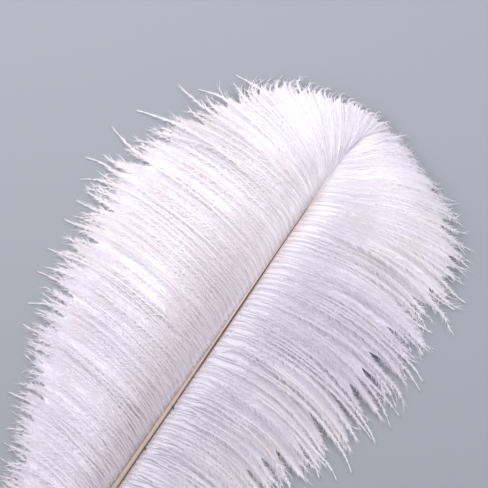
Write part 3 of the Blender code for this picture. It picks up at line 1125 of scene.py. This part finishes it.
def make_barb_piece(name, barbs, rng, material, nodes):
    """One stretch of a vane: its barbs and their barbules in one mesh.

    Its UV maps hold the share along a barb and the barb's place in the row, the distance from the
    shaft and whether it is on the bed, and how much painted shade greys it.
    """
    web_points, quads, caps, web_place = barb_webs(barbs, rng)
    points, places, triangles = [web_points], [web_place], []
    for spiky in (barbules(barbs, rng), down_hairs(barbs, rng), wisps(barbs, rng)):
        triangles.append(spiky[1] + sum(len(part) for part in points))
        points.append(spiky[0])
        places.append(spiky[2])
    points = np.concatenate(points) + SHIFT
    place = np.concatenate(places)
    triangles = np.concatenate(triangles)
    faces = (quads, caps, triangles)
    corners = np.concatenate([f.ravel() for f in faces])
    sizes = np.concatenate([np.full(len(f), f.shape[1]) for f in faces])
    mesh = bpy.data.meshes.new(name)
    mesh.vertices.add(len(points))
    mesh.vertices.foreach_set("co", points.astype(np.float32).ravel())
    mesh.loops.add(len(corners))
    mesh.loops.foreach_set("vertex_index", corners.astype(np.int32))
    mesh.polygons.add(len(sizes))
    mesh.polygons.foreach_set("loop_start", (np.cumsum(sizes) - sizes).astype(np.int32))
    mesh.update(calc_edges=True)
    smooth = np.concatenate([np.full(len(f), f is quads) for f in faces])
    mesh.polygons.foreach_set("use_smooth", smooth)
    mesh.set_sharp_from_angle(angle=math.radians(WEB_EDGE_ANGLE))
    share, barb = place[corners].T
    barb = barb.astype(int)
    web = corners < len(web_points)
    # How much painted shade greys each face corner.
    painted_shade = barbs["painted_shade"][barb] + barbs["rope_gap_shade"][barb] * np.where(web, BED_WEB_SHADE, FUZZ_SHADE)
    add_uv(mesh, "OFBake", share, (barb + 0.5) / len(barbs["reach"]))
    add_uv(mesh, "BarbPlace", share * barbs["reach"][barb] / BARB_UNIT, barbs["under"][barb] & web)
    add_uv(mesh, "BarbGrey", painted_shade, painted_shade)
    return add_piece(name, mesh, material, "white_barbs", *nodes)


def add_uv(mesh, name, u, v):
    """Gives the mesh a UV map from one u and one v a face corner."""
    layer = mesh.uv_layers.new(name=name)
    layer.data.foreach_set("uv", np.stack([u, v], -1).astype(np.float32).ravel())


def make_vanes(material):
    """Both vanes, each in three stretches along the shaft."""
    stretches = ("lower", "middle", "upper")
    for side in SIDE_SIGN:
        rng = np.random.default_rng(SEEDS[side])
        barbs = in_one_row(lay_barbs(side, rng), lay_strands(side, rng))
        load = np.cumsum(barbs["reach"]) / barbs["reach"].sum()
        which = np.minimum((load * len(stretches)).astype(int), len(stretches) - 1)
        for k, stretch in enumerate(stretches):
            part = {key: rows[which == k] for key, rows in barbs.items()}
            make_barb_piece(f"{side}_barbs_{stretch}", part, rng, material, [f"{side}_vane"])


# -------- floor, light and camera

# The photograph's frame: its shaft leaves the lower edge at this pixel and this place along the
# shaft, leaning this far right. Its scale holds at this height.
PHOTO_PIXELS = 488
SHAFT_PIXEL = (115.0, 488.0)
SHAFT_PIXEL_PLACE = 0.167
SHAFT_LEAN = 34.6
METRES_A_PIXEL = 0.00072
SCALE_HEIGHT = 0.020
CAMERA_HEIGHT = 1.05
SENSOR_WIDTH = 36.0

FLOOR_HALF_SIZE = 3.0
FLOOR_DROP = 0.0002
FLOOR_GREY = (0.27, 0.285, 0.31, 1.0)
SURROUNDINGS = (0.90, 0.87, 0.95, 1.0)
SURROUNDINGS_STRENGTH = 0.5


def photo_point(pixel_x, pixel_y):
    """World x and y of a pixel of the photograph, at the height where its scale is set."""
    lean = math.radians(SHAFT_LEAN)
    across, down = pixel_x - SHAFT_PIXEL[0], pixel_y - SHAFT_PIXEL[1]
    along = across * math.sin(lean) - down * math.cos(lean)
    right = across * math.cos(lean) + down * math.sin(lean)
    x = right * METRES_A_PIXEL + SHIFT[0]
    return x, SHAFT_PIXEL_PLACE + along * METRES_A_PIXEL + SHIFT[1]


def make_camera():
    """Looks straight down, turned so that the shaft leans as it does in the photograph."""
    data = bpy.data.cameras.new("camera")
    camera = bpy.data.objects.new("camera", data)
    bpy.context.scene.collection.objects.link(camera)
    x, y = photo_point(PHOTO_PIXELS / 2, PHOTO_PIXELS / 2)
    camera.location = (x, y, CAMERA_HEIGHT)
    camera.rotation_euler = (0.0, 0.0, math.radians(SHAFT_LEAN))
    data.sensor_width = SENSOR_WIDTH
    data.lens = SENSOR_WIDTH * (CAMERA_HEIGHT - SCALE_HEIGHT) / (PHOTO_PIXELS * METRES_A_PIXEL)
    data.clip_start = 0.01
    bpy.context.scene.camera = camera


def make_floor():
    """A plain pale floor."""
    bm = bmesh.new()
    bmesh.ops.create_grid(bm, x_segments=1, y_segments=1, size=FLOOR_HALF_SIZE)
    mesh = bpy.data.meshes.new("floor")
    bm.to_mesh(mesh)
    bm.free()
    floor = bpy.data.objects.new("floor", mesh)
    floor.location.z = -FLOOR_DROP
    bpy.context.scene.collection.objects.link(floor)
    material, _, _ = new_material("floor_paper", Base_Color=FLOOR_GREY, Roughness=0.9)
    mesh.materials.append(material)


def aim_light(name, bearing, elevation, distance, size, watts, colour):
    """A square softbox. Bearing 0 is the picture's top and 90 its right, seen from above."""
    data = bpy.data.lights.new(name, "AREA")
    data.size = size
    data.energy = watts
    data.color = colour
    light = bpy.data.objects.new(name, data)
    bpy.context.scene.collection.objects.link(light)
    world_bearing = math.radians(bearing - SHAFT_LEAN)
    level = math.cos(math.radians(elevation)) * distance
    centre_x, centre_y = photo_point(PHOTO_PIXELS / 2, PHOTO_PIXELS / 2)
    light.location = (
        centre_x + level * math.sin(world_bearing),
        centre_y + level * math.cos(world_bearing),
        math.sin(math.radians(elevation)) * distance,
    )
    towards = Vector((centre_x, centre_y, SCALE_HEIGHT)) - light.location
    light.rotation_euler = towards.to_track_quat("-Z", "Y").to_euler()


def make_light():
    """Soft key from the picture's upper left, weak cool fill from its right, pale surroundings."""
    aim_light(
        "key_softbox", bearing=-38.0, elevation=52.0, distance=1.0, size=1.1, watts=12.8,
        colour=(1.0, 0.965, 0.99),
    )
    aim_light(
        "fill_softbox", bearing=80.0, elevation=50.0, distance=1.2, size=1.1, watts=8.6,
        colour=(0.95, 0.95, 1.0),
    )
    scene = bpy.context.scene
    world = bpy.data.worlds.new("surroundings")
    scene.world = world
    world.use_nodes = True
    background = world.node_tree.nodes["Background"]
    background.inputs["Color"].default_value = SURROUNDINGS
    background.inputs["Strength"].default_value = SURROUNDINGS_STRENGTH
    scene.view_settings.view_transform = "Standard"
    scene.cycles.diffuse_bounces = 10
    scene.cycles.transmission_bounces = 8
    scene.cycles.max_bounces = 16


def main():
    make_camera()
    make_floor()
    make_light()
    make_shaft(shaft_material())
    make_broken_barbs(stub_material())
    make_vanes(barb_material())


main()
